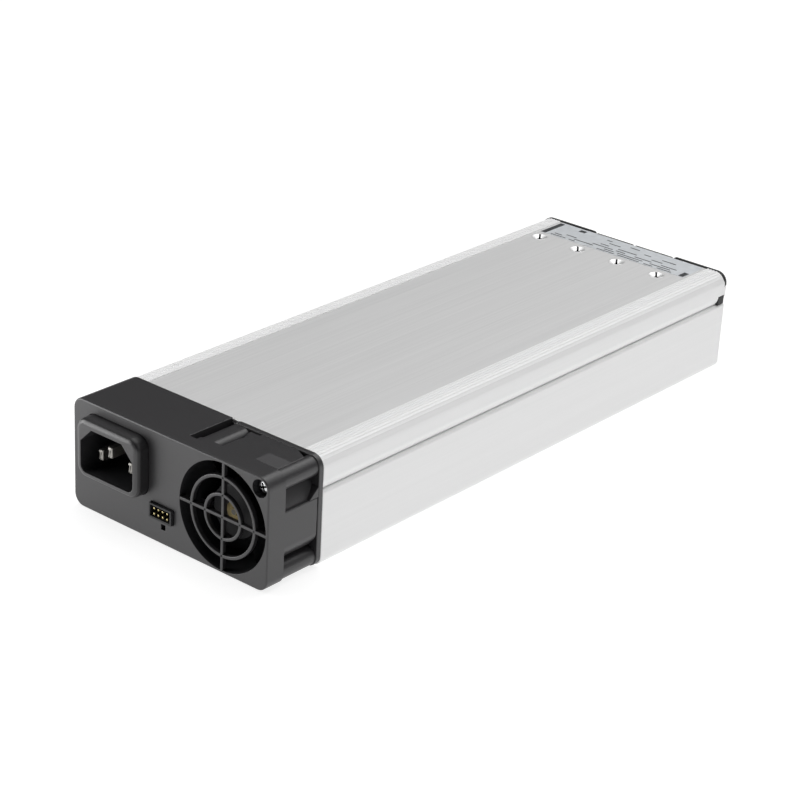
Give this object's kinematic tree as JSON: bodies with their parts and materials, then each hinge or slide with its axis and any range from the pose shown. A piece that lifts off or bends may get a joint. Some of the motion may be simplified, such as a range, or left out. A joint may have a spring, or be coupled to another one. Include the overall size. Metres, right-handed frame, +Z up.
{
  "type": "switching power supply",
  "caption": "Slim fan-cooled modular switching power supply: ribbed aluminium case, moulded front with mains inlet and fan grille, plug-in output modules with rear screw terminals.",
  "frame": {"origin": "middle of the underside, under the centre of the whole box", "axes": "+X to the right seen from the inlet end, +Y from the inlet end to the output end, +Z up"},
  "size_m": [0.089, 0.27, 0.04],
  "materials": {
    "case_aluminium": "brushed, clear anodised",
    "heat_aluminium": "extruded, plain",
    "label_foil": "matt metallised foil, blank",
    "screw_steel": "bright zinc plated",
    "bezel_plastic": "fine moulded texture",
    "inlet_plastic": "fine moulded texture",
    "black_plastic": "moulded",
    "end_plate_black": "black powder coat",
    "trimmer_white": "moulded",
    "blade_nickel": "nickel plated",
    "pin_gold": "gold plated",
    "hub_brass": "turned",
    "terminal_tin": "tin plated",
    "light_lens": "clear tinted",
    "ferrite": "sintered",
    "copper_wire": "enamelled",
    "coil_tape": "polyester tape",
    "circuit_board": "solder mask",
    "insulation_film": "polyester film",
    "capacitor_box": "moulded",
    "capacitor_can": "shrink sleeve",
    "fuse_ceramic": "glazed"
  },
  "bodies": {
    "case": {"base_tray": "case_aluminium", "top_cover": "case_aluminium", "heat_sink": "heat_aluminium", "module_heat_plates": "heat_aluminium", "rating_label": "label_foil", "module_screws": "screw_steel", "bezel_screws": "screw_steel", "fan_screw": "screw_steel", "board_screws": "screw_steel", "terminal_screws": "screw_steel", "mounting_nuts": "screw_steel", "board_standoffs": "screw_steel", "fan_bearings": "screw_steel", "front_bezel": "bezel_plastic", "fan_frame": "bezel_plastic", "inlet_housing": "inlet_plastic", "signal_header": "black_plastic", "groove_plugs": "black_plastic", "fan_plug": "black_plastic", "module_sockets": "black_plastic", "trimmer_housings": "black_plastic", "bridge_rectifier": "black_plastic", "power_transistors": "black_plastic", "fan_lead": "black_plastic", "module_1_end_plate": "end_plate_black", "module_2_end_plate": "end_plate_black", "module_3_end_plate": "end_plate_black", "module_4_end_plate": "end_plate_black", "inlet_blades": "blade_nickel", "signal_pins": "pin_gold", "output_terminals": "terminal_tin", "status_light": "light_lens", "filter_choke_core": "ferrite", "boost_choke_core": "ferrite", "transformer_core": "ferrite", "module_transformers": "ferrite", "fan_stator": "ferrite", "filter_choke_windings": "copper_wire", "boost_choke_winding": "copper_wire", "fan_coils": "copper_wire", "transformer_coil": "coil_tape", "main_board": "circuit_board", "bus_board": "circuit_board", "fan_board": "circuit_board", "module_1_board": "circuit_board", "module_2_board": "circuit_board", "module_3_board": "circuit_board", "module_4_board": "circuit_board", "insulation_sheet": "insulation_film", "filter_capacitors": "capacitor_box", "bulk_capacitors": "capacitor_can", "input_fuse": "fuse_ceramic"},
    "fan_rotor": {"fan_impeller": "black_plastic", "fan_hub_insert": "hub_brass", "fan_shaft": "screw_steel", "fan_magnet": "ferrite"},
    "trimmer_1": {"module_1_trimmer": "trimmer_white"},
    "trimmer_2": {"module_2_trimmer": "trimmer_white"},
    "trimmer_3": {"module_3_trimmer": "trimmer_white"},
    "trimmer_4": {"module_4_trimmer": "trimmer_white"}
  },
  "joints": [
    {"name": "fan_spin", "type": "hinge", "parent": "case", "child": "fan_rotor", "pos_m": [0.0245, -0.117, 0.02], "axis": [0, 1, 0], "continuous": true},
    {"name": "trimmer_1_turn", "type": "hinge", "parent": "case", "child": "trimmer_1", "pos_m": [-0.02255, 0.1262, 0.0311], "axis": [0, 1, 0], "range_deg": [-135, 135]},
    {"name": "trimmer_2_turn", "type": "hinge", "parent": "case", "child": "trimmer_2", "pos_m": [-0.00365, 0.1262, 0.0311], "axis": [0, 1, 0], "range_deg": [-135, 135]},
    {"name": "trimmer_3_turn", "type": "hinge", "parent": "case", "child": "trimmer_3", "pos_m": [0.01525, 0.1262, 0.0311], "axis": [0, 1, 0], "range_deg": [-135, 135]},
    {"name": "trimmer_4_turn", "type": "hinge", "parent": "case", "child": "trimmer_4", "pos_m": [0.03415, 0.1262, 0.0311], "axis": [0, 1, 0], "range_deg": [-135, 135]}
  ]
}
